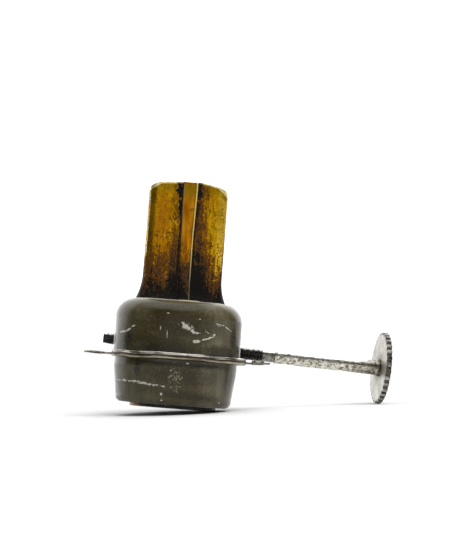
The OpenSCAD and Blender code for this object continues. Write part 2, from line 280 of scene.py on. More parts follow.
class Wires:
    """Puts nodes in a node tree and links them. A value is a number, a colour or another node's output."""

    def __init__(self, tree):
        self.tree = tree

    def put(self, kind, **settings):
        """Adds a node with its settings."""
        made = self.tree.nodes.new(kind)
        for label, value in settings.items():
            setattr(made, label, value)
        return made

    def feed(self, socket, value):
        """Links a socket, or sets its value. One number stands for all three parts of a vector."""
        if isinstance(value, bpy.types.NodeSocket):
            self.tree.links.new(value, socket)
        elif socket.type == "RGBA":
            socket.default_value = (*value, 1.0)
        elif socket.type == "VECTOR" and not isinstance(value, tuple):
            socket.default_value = (value, value, value)
        else:
            socket.default_value = value

    def node(self, kind, values, output=0, **settings):
        """Adds a node, feeds the inputs given by name or number, and gives one output."""
        made = self.put(kind, **settings)
        for label, value in values.items():
            self.feed(made.inputs[label], value)
        return made.outputs[output]

    def parts(self, place):
        """The three parts of a place."""
        made = self.put("ShaderNodeSeparateXYZ")
        self.feed(made.inputs[0], place)
        return made.outputs

    def work_out(self, operation, *values):
        """One sum: a Math node."""
        return self.node("ShaderNodeMath", dict(enumerate(values)), operation=operation)

    def chain(self, operation, values):
        """The same sum over several values, two at a time."""
        result = values[0]
        for value in values[1:]:
            result = self.work_out(operation, result, value)
        return result

    def all_of(self, *values):
        """The product of several values."""
        return self.chain("MULTIPLY", values)

    def any_of(self, *values):
        """The largest of several values."""
        return self.chain("MAXIMUM", values)

    def total(self, *values):
        """The sum of several values."""
        return self.chain("ADD", values)

    def less(self, value, taken):
        """The difference of two values."""
        return self.work_out("SUBTRACT", value, taken)

    def step(self, value, low, high):
        """0 to 1 by a smooth step as the value goes from low to high."""
        return self.node("ShaderNodeMapRange", {0: value, 1: low, 2: high}, interpolation_type="SMOOTHSTEP")

    def span(self, value, low, high, soft):
        """1 between low and high, falling to 0 over `soft` outside them."""
        rise, fall = (self.step(value, end - way, end + way) for end, way in ((low, soft), (high, -soft)))
        return self.all_of(rise, fall)

    def between(self, share, below, above):
        """Mixes two values: below at share 0, above at share 1."""
        return self.node("ShaderNodeMix", {0: share, 2: below, 3: above}, data_type="FLOAT")

    def over(self, share, below, above):
        """Lays one colour over another by a share."""
        return self.node("ShaderNodeMix", {0: share, 6: below, 7: above}, 2, data_type="RGBA")

    def use(self, effect, **values):
        """Places a shared effect with its own values, an underscore standing for a space."""
        values = {label.replace("_", " "): value for label, value in values.items()}
        return self.node("ShaderNodeGroup", values, node_tree=effect)


def shared(name, result, wiring, **inputs):
    """A shared effect: a node group with the place and other inputs and one result, wired once."""
    tree = bpy.data.node_groups.new(name, "ShaderNodeTree")
    for label, value in {"Place": (0, 0, 0), **inputs}.items():
        kind = "NodeSocketVector" if isinstance(value, tuple) else "NodeSocketFloat"
        made = tree.interface.new_socket(name=label.replace("_", " "), in_out="INPUT", socket_type=kind)
        made.default_value = value
    tree.interface.new_socket(name=result, in_out="OUTPUT", socket_type="NodeSocketFloat")
    w = Wires(tree)
    entry = w.put("NodeGroupInput")
    leave = w.put("NodeGroupOutput")
    w.feed(leave.inputs[0], wiring(w, entry.outputs))
    return tree


def wire_mottle(w, given):
    """Cloudy noise over the place, divided by the size along each axis."""
    scaled = w.node("ShaderNodeVectorMath", {0: given["Place"], 1: given["Size"]}, operation="DIVIDE")
    values = {"Vector": scaled, "W": given["Seed"], "Scale": 1.0, "Detail": given["Detail"]}
    return w.step(w.node("ShaderNodeTexNoise", values, noise_dimensions="4D"), 0.3, 0.7)


def wire_speckle(w, given):
    """Noise cut off at a level set by how much of the surface the specks cover."""
    cloud = w.use(mottle, Place=given["Place"], Size=given["Size"], Detail=4.0, Seed=given["Seed"])
    level = w.work_out("MULTIPLY_ADD", given["Share"], -1.1, 1.05)
    return w.step(cloud, w.less(level, given["Soft"]), w.total(level, given["Soft"]))


def wire_patch(w, given):
    """An oval patch on the front: the turned offset from its centre over its half sizes is squared and
    added up, ragged noise is added to the root of that, and the patch is where the result is under 1."""
    x, y, z = w.parts(given["Place"])
    across, up = w.less(x, given["X"]), w.less(z, given["Z"])
    turn = w.work_out("RADIANS", given["Turn"])
    cos, sin = w.work_out("COSINE", turn), w.work_out("SINE", turn)
    along = w.total(w.all_of(across, cos), w.all_of(up, sin))
    beside = w.less(w.all_of(up, cos), w.all_of(across, sin))
    along = w.work_out("DIVIDE", along, given["Half length"])
    beside = w.work_out("DIVIDE", beside, given["Half width"])
    away = w.work_out("SQRT", w.total(w.all_of(along, along), w.all_of(beside, beside)))
    cloud = w.use(mottle, Place=given["Place"], Size=0.9, Detail=4.0)
    away = w.total(away, w.all_of(w.less(cloud, 0.5), given["Ragged"]))
    inside = w.step(away, w.total(1.0, given["Soft"]), w.less(1.0, given["Soft"]))
    return w.all_of(inside, w.step(y, 0.5, -0.5))


mottle = shared("Mottle", "Cloud", wire_mottle, Size=(1, 1, 1), Detail=3.0, Seed=0.0)
speckle = shared("Speckle", "Specks", wire_speckle, Size=(1, 1, 1), Share=0.3, Soft=0.06, Seed=0.0)
patch = shared("Patch", "Inside", wire_patch, X=0.0, Z=0.0, Half_length=1.0, Half_width=1.0, Turn=0.0,
               Ragged=0.8, Soft=0.2)


class Finish(Wires):
    """A material being put together: its Principled shader, the place on the object in millimetres, that
    place's three parts, and the colour so far."""

    def __init__(self, name):
        self.material = bpy.data.materials.new(name)
        self.material.use_nodes = True
        super().__init__(self.material.node_tree)
        self.tree.nodes.clear()
        self.shader = self.put("ShaderNodeBsdfPrincipled")
        self.feed(self.put("ShaderNodeOutputMaterial").inputs[0], self.shader.outputs[0])
        here = self.put("ShaderNodeTexCoord").outputs["Object"]
        self.place = self.node("ShaderNodeVectorMath", {0: here, "Scale": 1 / MM}, operation="SCALE")
        self.x, self.y, self.z = self.parts(self.place)

    def mark(self, label):
        """A number carried by the mesh, such as the distance below the mouth."""
        return self.put("ShaderNodeAttribute", attribute_name=label).outputs["Fac"]

    def cloud(self, size, seed=0.0, detail=3.0):
        """Soft blotches about `size` millimetres across, 0 to 1."""
        return self.use(mottle, Place=self.place, Size=size, Detail=detail, Seed=seed)

    def grit(self, size, seed, strength):
        """Fine noise about nothing: its cloud less a half, times a strength."""
        return self.all_of(self.less(self.cloud(size, seed, 5.0), 0.5), strength)

    def specks(self, size, share, seed=0.0, soft=0.06):
        """Specks of about a size that cover about a share of the surface."""
        return self.use(speckle, Place=self.place, Size=size, Share=share, Soft=soft, Seed=seed)

    def patches(self, rows):
        """The union of patches given as (x, z, half length, half width, turn, ragged, soft)."""
        labels = ("X", "Z", "Half_length", "Half_width", "Turn", "Ragged", "Soft")
        return self.any_of(*[self.use(patch, Place=self.place, **dict(zip(labels, row))) for row in rows])

    def lay(self, colour, *shares):
        """Lays a colour over the colour so far by the product of the shares."""
        self.colour = self.over(self.all_of(*shares), self.colour, colour)

    def tarnish(self, darkness):
        """Turns bare metal to bronze, brown and soot as the darkness goes from 0 to 1."""
        self.lay((0.21, 0.085, 0.006), self.step(darkness, 0.12, 0.40))
        self.lay((0.060, 0.026, 0.007), self.step(darkness, 0.40, 0.68))
        self.lay(SOOT, self.step(darkness, 0.74, 1.02))

    def done(self, height=None, depth=0.0, **values):
        """Sets or links the shader's colour and other sockets, an underscore standing for a space, adds
        relief `depth` millimetres deep through a Bump node, and gives the material."""
        for label, value in {"Base_Color": self.colour, **values}.items():
            self.feed(self.shader.inputs[label.replace("_", " ")], value)
        if height is not None:
            bump = self.node("ShaderNodeBump", {"Distance": depth * MM, "Height": height})
            self.feed(self.shader.inputs["Normal"], bump)
        return self.material


OLIVE = (0.20, 0.145, 0.006)
CREAM = (1.0, 0.90, 0.58)
SOOT = (0.0035, 0.0028, 0.0020)


def brass_finish():
    """Old gold brass: streaked down the tube, orange in patches, cream along the edge of its mouth where it
    is worn bare and painted as a highlight, a painted dark reflection and a painted highlight down its left
    end and a painted highlight down its right, dark beside the seam from tarnish, soot and painted shade,
    and burnt from the foot up, ever thicker, with specks above."""
    f = Finish("tube brass")
    front = f.step(f.y, 0.2, -0.4)
    clouds = f.cloud((4.0, 4.0, 9.0), 7.0)
    f.colour = f.over(clouds, (0.53, 0.245, 0.002), (0.84, 0.47, 0.008))
    orange = f.patches([(-8.7, 62.5, 2.3, 8.5, 0, 0.9, 0.5), (-7.2, 52, 1.6, 4.5, 0, 0.9, 0.5),
                        (5.8, 60.0, 1.0, 5.0, 0, 0.9, 0.5)])
    f.lay((0.50, 0.175, 0.006), orange, 0.85)
    # painted dark reflection where the front turns into the rounded left end
    f.lay(OLIVE, f.span(f.x, -12.3, -11.0, 0.5), front, f.step(f.z, 44, 50), 0.7)
    # painted highlight along the very edge of the left end
    left_edge_highlight = f.all_of(f.span(f.x, -13.15, -12.75, 0.12), front, f.step(f.z, 42, 47))
    f.lay(CREAM, left_edge_highlight, f.step(f.z, 75.2, 74), 0.75)
    # painted highlight down the right of the front, broken into streaks
    highlight_streaks = f.between(f.cloud((1.5, 1.5, 12.0), 10.0), 0.4, 1.0)
    f.lay((1.0, 0.68, 0.06), f.span(f.x, 10.2, 12.5, 0.6), front, f.step(f.z, 40, 50), highlight_streaks)
    f.lay((0.22, 0.10, 0.002), f.cloud((0.45, 0.45, 1.8), 12.0, 5.0), 0.5)
    f.lay((0.16, 0.075, 0.003), f.cloud((5.0, 5.0, 0.5), 14.0, 5.0), f.step(f.z, 52, 58), 0.28)
    mouth = f.mark("below_mouth")
    f.lay(OLIVE, f.step(mouth, 4.5, 1.5), front, 0.5)
    burn = f.step(f.z, 63, 37)
    near_seam = f.all_of(f.span(f.x, 1.0, 6.6, 2.6), front, 0.55)
    left_of_seam = f.all_of(f.span(f.x, -5.0, -1.5, 1.6), front, 0.34)
    # keeps the painted highlight on the right clear of tarnish
    right_highlight_lift = f.all_of(f.span(f.x, 9.8, 12.4, 0.8), f.step(f.z, 36, 44), -0.24)
    right_end = f.all_of(f.step(f.x, 12.3, 13.2), 0.35)
    foot = f.all_of(f.step(f.z, 43.0, 35.0), 0.36)
    lines = f.all_of(f.cloud((0.9, 0.9, 11.0), 3.0, 5.0), 0.30)
    fine = f.all_of(f.grit((0.45, 0.45, 0.8), 5.0, 0.62), f.between(burn, 0.75, 1.0))
    large = f.grit((2.4, 2.4, 3.2), 6.0, 0.34)
    darkness = f.total(f.all_of(burn, 0.86), near_seam, left_of_seam, right_highlight_lift, right_end, foot, lines,
                       fine, large, -0.13)
    f.tarnish(darkness)
    marks = f.patches([(8.4, 68.5, 1.1, 2.4, 8, 1.4, 0.5), (10.2, 65.5, 0.8, 1.8, -10, 1.4, 0.5),
                       (6.2, 72.2, 0.9, 1.1, 0, 1.4, 0.5), (-11.2, 70.5, 0.5, 2.6, 0, 1.4, 0.5),
                       (9.0, 61.0, 0.5, 1.3, 60, 1.4, 0.5), (11.0, 71.5, 2.0, 0.4, -25, 1.4, 0.5)])
    f.lay((0.035, 0.016, 0.004), marks, lines, 2.2)
    black_top = f.patches([(-3.3, 72.6, 1.25, 3.2, 4, 1.1, 0.25), (-2.7, 67.5, 0.7, 3.5, 0, 0.9, 0.3),
                           (3.3, 72.5, 1.0, 4.0, 0, 1.0, 0.5), (3.0, 66.0, 0.7, 5.0, 0, 1.0, 0.5)])
    # bands either side of the seam strip: soot, and painted shade in the crevice beside the raised strip
    beside = f.any_of(f.span(f.x, -2.75, -1.9, 0.2), f.span(f.x, 2.25, 2.9, 0.35))
    soot_and_seam_shade = f.any_of(black_top, f.all_of(beside, front, f.step(f.z, 30, 34), 0.95))
    f.lay(SOOT, soot_and_seam_shade)
    # the mouth's edge: worn bare, and a painted highlight, wider at the corners
    corner = f.any_of(f.step(f.x, -9.0, -12.0), f.step(f.x, 9.0, 12.0))
    lip = f.step(mouth, f.between(corner, 0.65, 1.7), f.between(corner, 0.4, 1.1))
    lip = f.all_of(lip, f.less(1.0, f.all_of(f.span(f.x, -4.6, 4.4, 0.4), 0.9)))
    f.lay(f.over(f.cloud(1.2, 2.0), (0.85, 0.64, 0.20), CREAM), lip)
    burnt = f.all_of(f.any_of(f.step(darkness, 0.45, 0.85), soot_and_seam_shade), f.less(1.0, lip))
    grain = f.total(f.cloud((0.35, 0.35, 0.9), 8.0), f.all_of(burnt, 0.8))
    return f.done(grain, 0.03, Metallic=f.between(burnt, 1.0, 0.0), Specular_IOR_Level=0.10,
                  Roughness=f.between(burnt, f.between(clouds, 0.24, 0.34), 0.45))


def strip_finish():
    """The seam strip: a dull left edge, an orange face, and a bright bead on the right, all burnt
    towards the foot but for a line along the bead that is worn and carries a painted highlight."""
    f = Finish("seam brass")
    across = f.mark("across")
    f.colour = f.over(f.cloud((1.2, 1.2, 7.0), 4.0), (0.30, 0.095, 0.002), (0.58, 0.24, 0.008))
    f.lay((0.30, 0.165, 0.005), f.step(f.z, 68, 73))
    edge = f.step(across, 0.11, 0.03)
    f.lay((0.30, 0.27, 0.14), edge, 0.7)
    darkness = f.total(f.all_of(f.step(f.z, 59, 39), 1.12), f.grit((2.5, 2.5, 4.0), 6.0, 0.4),
                       f.grit((0.5, 0.5, 1.0), 9.0, 0.5), f.all_of(edge, 0.2), -0.04)
    f.tarnish(darkness)
    # a line along the bead, worn and also a painted highlight, kept from the burn
    worn = f.all_of(f.span(across, 0.875, 0.965, 0.03), f.step(f.z, 35, 39))
    bead = f.over(f.step(f.z, 42, 56), (0.30, 0.25, 0.16), (0.95, 0.72, 0.20))
    f.lay(bead, worn, f.between(f.step(f.z, 40, 50), 0.8, 0.95))
    burnt = f.all_of(f.step(darkness, 0.45, 0.85), f.less(1.0, worn))
    return f.done(f.cloud((0.4, 0.4, 0.8), 2.0), 0.03, Metallic=f.between(burnt, 1.0, 0.0),
                  Roughness=f.between(burnt, 0.30, 0.45), Specular_IOR_Level=0.10)


UPPER_CHIPS = [
    (0.2, 26.6, 1.9, 0.8, -24, 1.3, 0.4), (2.0, 25.5, 1.2, 0.45, -20, 1.5, 0.3),
    (3.9, 25.1, 1.2, 0.18, -6, 1.4, 0.3), (3.6, 22.4, 1.15, 0.48, 14, 0.9, 0.2),
    (6.4, 23.2, 1.3, 0.26, 14, 1.3, 0.25), (8.3, 23.9, 0.9, 0.26, 22, 1.3, 0.25),
    (9.5, 25.0, 0.5, 0.32, 60, 1.3, 0.25), (7.0, 25.6, 0.7, 0.10, -30, 1.2, 0.3),
    (11.4, 28.4, 1.5, 0.17, -8, 1.1, 0.25), (13.9, 27.6, 1.5, 0.17, -28, 1.1, 0.25),
    (11.0, 27.9, 0.9, 0.10, -8, 1.1, 0.3), (-19.4, 24.0, 0.8, 0.30, 8, 1.2, 0.25),
    (-17.8, 24.7, 0.7, 0.28, 40, 1.2, 0.25), (-16.4, 26.0, 0.55, 0.25, 30, 1.2, 0.25),
    (-8.3, 25.9, 0.12, 0.7, 0, 0.8, 0.4), (-6.1, 23.9, 0.10, 1.0, 4, 0.8, 0.4),
    (-6.2, 30.8, 0.4, 0.2, 0, 1.0, 0.3), (4.2, 29.6, 0.3, 0.15, 0, 1.0, 0.3),
]
LOWER_CHIPS = [
    (-15.0, 8.0, 3.0, 0.26, -3, 2.2, 0.5), (-10.2, 7.4, 3.2, 0.24, -4, 2.4, 0.5),
    (-3.9, 12.4, 0.3, 0.2, 15, 1.8, 0.3),
    (-6.3, 4.6, 0.34, 0.4, 0, 0.8, 0.3), (-6.1, 2.5, 0.28, 0.2, 0, 0.8, 0.3),
    (13.5, 3.0, 0.22, 0.3, 0, 0.8, 0.3), (1.3, 15.0, 0.35, 0.22, 0, 1.2, 0.3),
]


def drum_finish(name, chips, browned_and_shaded, painted_shade_patches):
    """Thick brown-olive enamel, cloudy and glossy, lighter on the right, browner and darker in broad
    patches, some of them painted dark reflections, with painted shade and painted dark reflections in
    streaks near its sides and in bands by the rim, pale on its flat top from dust and a painted highlight,
    with bare grey metal where it has chipped, a dark line round each chip, and pin-prick flaws."""
    f = Finish(name)
    clouds = f.cloud((8.0, 8.0, 5.0), 1.0)
    f.colour = f.over(clouds, (0.038, 0.031, 0.010), (0.070, 0.060, 0.031))
    # a lighter tone in clouds on the right of the drum
    right_clouds = f.between(f.cloud(6.0, 11.0), 0.35, 1.0)
    f.lay((0.15, 0.135, 0.088), f.span(f.x, 6.0, 13.5, 2.5), right_clouds, 0.62)
    # browner patches of the enamel; the narrow upright ones near the sides are painted dark reflections
    f.lay((0.016, 0.011, 0.0025), f.patches(browned_and_shaded), 0.85)
    # painted shade and painted dark reflections: streaks near the sides, and bands just above and below the
    # rim
    f.lay((0.008, 0.007, 0.005), f.patches(painted_shade_patches), 0.9)
    f.lay((0.020, 0.015, 0.006), f.cloud((2.0, 2.0, 8.0), 4.0), 0.4)
    f.lay((0.025, 0.018, 0.008), f.specks(0.45, 0.16, 3.0), 0.6)
    f.lay((0.16, 0.15, 0.12), f.specks(0.35, 0.10, 8.0), 0.35)
    sprayed = f.patches([(-2.2, 10.4, 1.8, 3.2, 0, 1.6, 0.6)])
    f.lay((0.17, 0.15, 0.10), sprayed, f.specks(0.55, 0.42, 12.0), 0.7)
    # pale mottled flat top: dust, and a painted highlight along the shoulder's top edge
    dust_and_top_highlight = f.all_of(f.step(f.z, 34.9, 35.5), f.between(f.cloud(2.6, 16.0, 5.0), 0.45, 1.0))
    f.lay((0.42, 0.39, 0.30), dust_and_top_highlight, 0.85)
    shade = [(row[0] + 0.1, row[1] - 0.15, row[2] + 0.25, row[3] + 0.25, *row[4:]) for row in chips]
    f.lay((0.022, 0.016, 0.008), f.patches(shade), 0.7)
    bare = f.patches(chips)
    f.lay(f.over(f.cloud(0.5, 4.0), (0.36, 0.34, 0.28), (0.46, 0.44, 0.39)), bare)
    rough = f.between(f.any_of(bare, dust_and_top_highlight), f.between(clouds, 0.14, 0.24), 0.5)
    return f.done(f.less(f.all_of(f.cloud(1.1, 5.0), 0.35), bare), 0.04, Metallic=f.all_of(bare, 0.5),
                  Roughness=rough, Specular_IOR_Level=0.24, Sheen_Weight=1.0, Sheen_Roughness=0.2)


def rim_finish():
    """The folded rim: worn bright on its upper bead, black in the groove, tan and dull below, with long
    dark smears."""
    f = Finish("rim steel")
    wear = f.cloud((7.0, 7.0, 0.5), 2.0)
    f.colour = f.over(wear, (0.30, 0.27, 0.21), (0.80, 0.77, 0.69))
    f.lay((0.040, 0.028, 0.016), f.specks((4.5, 4.5, 0.35), 0.36, 4.0, 0.15), 0.85)
    lower = f.over(f.cloud((6.0, 6.0, 0.7), 6.0), (0.10, 0.075, 0.045), (0.46, 0.40, 0.30))
    at = f.mark("rim_height")
    f.lay(lower, f.step(at, 1.30, 1.10))
    groove = f.span(at, 0.88, 1.16, 0.12)
    f.lay((0.010, 0.008, 0.005), f.any_of(groove, f.all_of(f.step(at, 0.16, 0.04), 0.8)))
    f.lay((0.06, 0.045, 0.03), f.specks(0.5, 0.2, 9.0), 0.4)
    return f.done(f.cloud(0.6, 8.0), 0.04, Metallic=f.between(groove, 0.9, 0.1),
                  Roughness=f.between(wear, 0.46, 0.30))


def steel_finish(name, dull, bright, roughness, dirt_share, dirt, size=0.7, notched=False, stain=False,
                 painted_top_highlight=False):
    """Worn plain steel: two greys in clouds, dirt in the pits. On the winder's shaft the side that is
    turned up carries a painted highlight, with a painted dark reflection in a line along its border. On the
    wheel the dirt sits in the notches, and a brown stain spreads from the hub."""
    f = Finish(name)
    wear = f.cloud(size * 2.5, 1.0)
    f.colour = f.over(wear, dull, bright)
    if painted_top_highlight:
        turned_up = f.total(f.mark("upward"), f.grit((2.0, 1.0, 1.0), 7.0, 0.25))
        up = f.step(turned_up, 0.32, 0.55)
        dirt_share = f.between(up, dirt_share, 0.10)
        # painted highlight on the side turned up
        f.lay((0.93, 0.92, 0.89), up, 0.85)
        # painted dark reflection in a line along the highlight's border
        f.lay((0.10, 0.088, 0.055), f.span(turned_up, 0.10, 0.30, 0.10), 0.75)
    pits = f.specks(size, dirt_share, 3.0, 0.12)
    f.lay(dirt, pits, 0.85)
    if stain:
        f.lay((0.085, 0.060, 0.032), f.mark("near_hub"), f.between(f.cloud(1.6, 9.0), 0.45, 1.0), 0.95)
    if notched:
        packed = f.all_of(f.mark("in_notch"), f.between(f.cloud(2.5, 6.0), 0.8, 1.0))
        grime = f.any_of(packed, f.all_of(f.mark("on_rim"), f.cloud(3.6, 9.0), 0.95))
        f.lay((0.018, 0.014, 0.009), grime, 0.96)
    return f.done(f.less(f.all_of(f.cloud(size * 0.5, 5.0), 0.4), pits), 0.02,
                  Metallic=f.between(pits, 1.0, 0.5), Roughness=f.between(wear, roughness + 0.12, roughness))


def black_finish(name, rust_from=None, painted_top_highlight=None):
    """Blackened steel with a faint brown bloom, worn grey in specks. Its top carries a painted highlight on
    the bearings, and the foot's left edge has rusted."""
    f = Finish(name)
    f.colour = f.over(f.cloud(1.2, 2.0), (0.004, 0.0035, 0.003), (0.022, 0.018, 0.013))
    worn = f.specks(0.5, 0.14, 6.0)
    f.lay((0.16, 0.15, 0.13), worn, 0.4)
    if painted_top_highlight is not None:
        turned_up = f.total(f.mark("upward"), f.grit(0.8, 4.0, 0.25))
        # painted highlight on the side turned up
        f.lay((0.80, 0.79, 0.76), f.step(turned_up, painted_top_highlight, painted_top_highlight + 0.5))
    if rust_from is not None:
        f.lay((0.36, 0.12, 0.025), f.step(f.x, rust_from + 3.5, rust_from), f.cloud(0.9, 9.0))
    return f.done(f.cloud(0.4, 4.0), 0.03, Metallic=0.5, Roughness=f.between(worn, 0.26, 0.36),
                  Specular_IOR_Level=0.4)


tube_brass = brass_finish()
seam_brass = strip_finish()
# Each drum half: its chips, its browned patches (the narrow upright ones are painted dark reflections), and
# its patches of painted shade and painted dark reflection.
upper_paint = drum_finish("upper drum paint", UPPER_CHIPS,
                          [(-3.0, 28.0, 11.0, 6.0, -3, 0.5, 0.6), (-7.0, 21.5, 10.0, 2.4, 0, 0.4, 0.6),
                           (17.0, 23.0, 1.2, 6.0, 8, 0.5, 0.5), (12.0, 20.0, 6.0, 1.6, 0, 0.5, 0.6)],
                          [(-6.0, 18.8, 12.0, 1.7, -1, 0.4, 0.7), (12.0, 18.3, 7.0, 0.8, 2, 0.4, 0.7),
                           (18.8, 20.4, 0.9, 3.8, 11, 0.4, 0.6), (-17.9, 20.6, 1.1, 3.6, -6, 0.5, 0.7)])
lower_paint = drum_finish("lower drum paint", LOWER_CHIPS,
                          [(-2.0, 10.5, 9.0, 3.6, 0, 0.6, 0.6), (-14.2, 12.5, 0.9, 2.6, 0, 0.5, 0.6),
                           (15.6, 10.5, 0.8, 3.6, 0, 0.5, 0.5), (2.0, 4.5, 9.0, 1.6, -3, 0.6, 0.6)],
                          [(-14.4, 12.8, 0.6, 2.4, 0, 0.4, 0.7), (17.2, 11.0, 0.55, 3.4, 0, 0.4, 0.6),
                           (0.0, 14.6, 16.0, 0.6, 0, 0.5, 0.8)])
rim_steel = rim_finish()
ear_steel = steel_finish("ear steel", (0.12, 0.10, 0.075), (0.46, 0.43, 0.37), 0.34, 0.30,
                         (0.03, 0.022, 0.014), 1.1)
pitted_steel = steel_finish("pitted steel", (0.46, 0.44, 0.36), (0.80, 0.78, 0.70), 0.26, 0.34,
                            (0.075, 0.062, 0.038), 0.8, stain=True, painted_top_highlight=True)
smooth_steel = steel_finish("smooth steel", (0.13, 0.125, 0.11), (0.34, 0.33, 0.30), 0.26, 0.30,
                            (0.05, 0.045, 0.035), 0.6, painted_top_highlight=True)
wheel_steel = steel_finish("wheel steel", (0.37, 0.36, 0.325), (0.46, 0.45, 0.41), 0.40, 0.10,
                           (0.22, 0.19, 0.14), 1.6, notched=True, stain=True)
washer_steel = steel_finish("washer steel", (0.40, 0.38, 0.33), (0.62, 0.60, 0.54), 0.36, 0.22,
                            (0.16, 0.12, 0.08))
black_steel = black_finish("black steel", painted_top_highlight=0.42)
foot_black = black_finish("foot black", rust_from=-14.0)
inner_steel = steel_finish("inner steel", (0.22, 0.20, 0.17), (0.45, 0.43, 0.38), 0.45, 0.25,
                           (0.05, 0.04, 0.03))
cog_brass = steel_finish("cog brass", (0.35, 0.22, 0.05), (0.62, 0.42, 0.12), 0.38, 0.28,
                         (0.05, 0.03, 0.012))
packing_black = black_finish("packing")


# ---- the wick tube ----

def mouth_height(x):
    """Height of the tube's crown across its width: a smooth curve through the heights below the top that
    were left when it was last trimmed, falling off steeply at each end."""
    across = np.array([-13.4, -12.6, -11.4, -10.2, -6.0, -1.0, 3.0, 6.5, 9.5, 11.6, 12.8, 13.4])
    below = np.array([2.7, 2.0, 1.3, 0.85, 0.55, 0.25, 0.0, 0.35, 1.0, 1.75, 2.5, 3.0])
    places = np.linspace(across[0], across[-1], 68)
    smooth = np.interp(places, across, below)
    smooth[1:-1] = (smooth[:-2] + smooth[1:-1] * 2 + smooth[2:]) / 4
    return tube_top - np.interp(x, places, smooth)


def tube_point(x, y, z):
    """Puts a point of the straight tube where the worn tube has it, with shallow dents on its broad
    faces."""
    place = np.stack([x, y, z * 0.5], -1)
    dent = 0.10 * ripple(place, 21, 11.0) * ease(z, 30.0, 45.0) * np.clip(np.abs(y) / 3, 0, 1)
    return np.stack([x, y + np.sign(y) * dent, z], -1)


half_flat = (tube_w - tube_d) / 2
cog_middles = [sum(station_range(name)) / 2 for name in ("cog_left", "cog_right")]
cog_half = (station_range("cog_left")[1] - station_range("cog_left")[0]) / 2 + 0.5
cog_rise = math.sqrt(shaft_radius("cog_left") ** 2 - (shaft_at[1] - tube_d / 2) ** 2) + 0.5
windows = [(c * shaft_way[0], shaft_at[2] + c * shaft_way[2]) for c in cog_middles]


def make_wick_tube():
    """The tube's wall: the round-ended outline carried up from the foot, its top row on the crown, and
    the rows below it settling back to level; two windows in the back let the cogs reach the wick."""
    stations = np.linspace(-half_flat, half_flat, 61)
    sides = [x + s * cog_half for x, z in windows for s in (-1, 1)]
    stations = np.unique(np.concatenate([stations, sides]).round(4))
    outline = stadium(tube_w, tube_d, stations)[0]
    waist, crown_from = 34, 60
    levels = np.concatenate([np.linspace(tube_low[2], waist, 40), np.linspace(waist, tube_top - 1.2, 70),
                             np.linspace(tube_top - 1.1, tube_top, 6)])
    edges = [z + s * cog_rise for x, z in windows for s in (-1, 1)]
    levels = np.unique(np.concatenate([levels, edges]).round(4))
    x = np.broadcast_to(outline[:, 0], (len(levels), len(outline)))
    y = np.broadcast_to(outline[:, 1], x.shape)
    z = np.broadcast_to(levels[:, None], x.shape)
    crown = mouth_height(x)
    z = z - (tube_top - crown) * np.clip((z - crown_from) / (tube_top - crown_from), 0, 1)
    grid = tube_point(x, y, z)

    def solid(middle):
        open_here = np.zeros(len(middle), bool)
        for wx, wz in windows:
            inside = (np.abs(middle[:, 0] - wx) < cog_half) & (np.abs(middle[:, 2] - wz) < cog_rise)
            open_here |= inside & (middle[:, 1] > 1)
        return ~open_here

    return skin("wick_tube_shell", grid, "burner", tube_brass, ["wick_tube"],
                keep=solid, wall=sheet, marks={"below_mouth": crown - z})


def skirt_out(height):
    """How far the flared foot stands off the tube: its full flare times the square of what is left of
    its height."""
    left = np.clip(1 - (height - drum_top) / skirt_h, 0, 1)
    return skirt_flare * left ** 2


def make_tube_skirt():
    """The flare: a closed section, out along the flare and back up inside the tube's wall, carried round
    the tube's outline."""
    outline, out = stadium(tube_w, tube_d, np.linspace(-half_flat, half_flat, 61), 26)
    rise_up = np.linspace(0, 1, 22) ** 1.3 * skirt_h + drum_top
    outer = np.stack([skirt_out(rise_up) + 0.02, rise_up], 1)
    under = drum_top - 0.15
    inner = np.array([[-0.2, drum_top + skirt_h - 0.3], [-0.2, under], [skirt_flare, under]])
    section = np.concatenate([outer, inner])
    away, height = section[:, 0][:, None], section[:, 1][:, None]
    x = outline[:, 0] + out[:, 0] * away
    y = outline[:, 1] + out[:, 1] * away
    z = np.broadcast_to(height, x.shape)
    far_below = np.full(x.shape, 40.0)
    return skin("tube_skirt_flare", np.stack([x, y, z], -1), "burner", tube_brass,
                ["tube_skirt"], rows_meet=True, marks={"below_mouth": far_below})


def make_seam_strip():
    """The seam strip: a shallow closed section with a thin left edge, a flat face and a bead on the
    right, carried up the front of the tube from the drum, out over the flare, its ends closed."""
    levels = np.concatenate([drum_top + np.linspace(0, 1, 24) * skirt_h,
                             np.linspace(drum_top + skirt_h + 1, tube_top - 0.2, 60)])
    section = rounded([(0, -0.25, 0), (0, 0.36, 0.12), (0.10, 0.46, 0.2), (0.60, 0.36, 0.2),
                       (0.84, 0.40, 0.04), (0.91, 0.70, 0.04), (0.98, 0.52, 0.05), (1, -0.25, 0)], 0.05)
    section = np.concatenate([section, np.linspace((0.9, -0.25), (0.1, -0.25), 5)])
    share = (levels - drum_top) / (tube_top - drum_top)
    right = 2.3 + 0.4 * share ** 3 + 0.06 * np.sin(share * 9)
    left = -1.3 - 1.1 * share ** 0.8 + 0.06 * np.sin(share * 14)
    across, up = section[:, 0][None, :], section[:, 1][None, :]
    x = left[:, None] + (right - left)[:, None] * across
    y = -tube_d / 2 - up - skirt_out(levels)[:, None]
    z = np.broadcast_to(levels[:, None], x.shape)
    y = y - 0.04 * ripple(np.stack([x, y, z * 0.5], -1), 5, 5.0)
    grid = capped(np.stack([x, y, z], -1))
    marks = {"across": capped(np.broadcast_to(across[..., None], (*x.shape, 1)).copy())}
    return skin("seam_strip_bead", grid, "burner", seam_brass, ["seam_strip"], marks=marks)


# ---- the drum ----

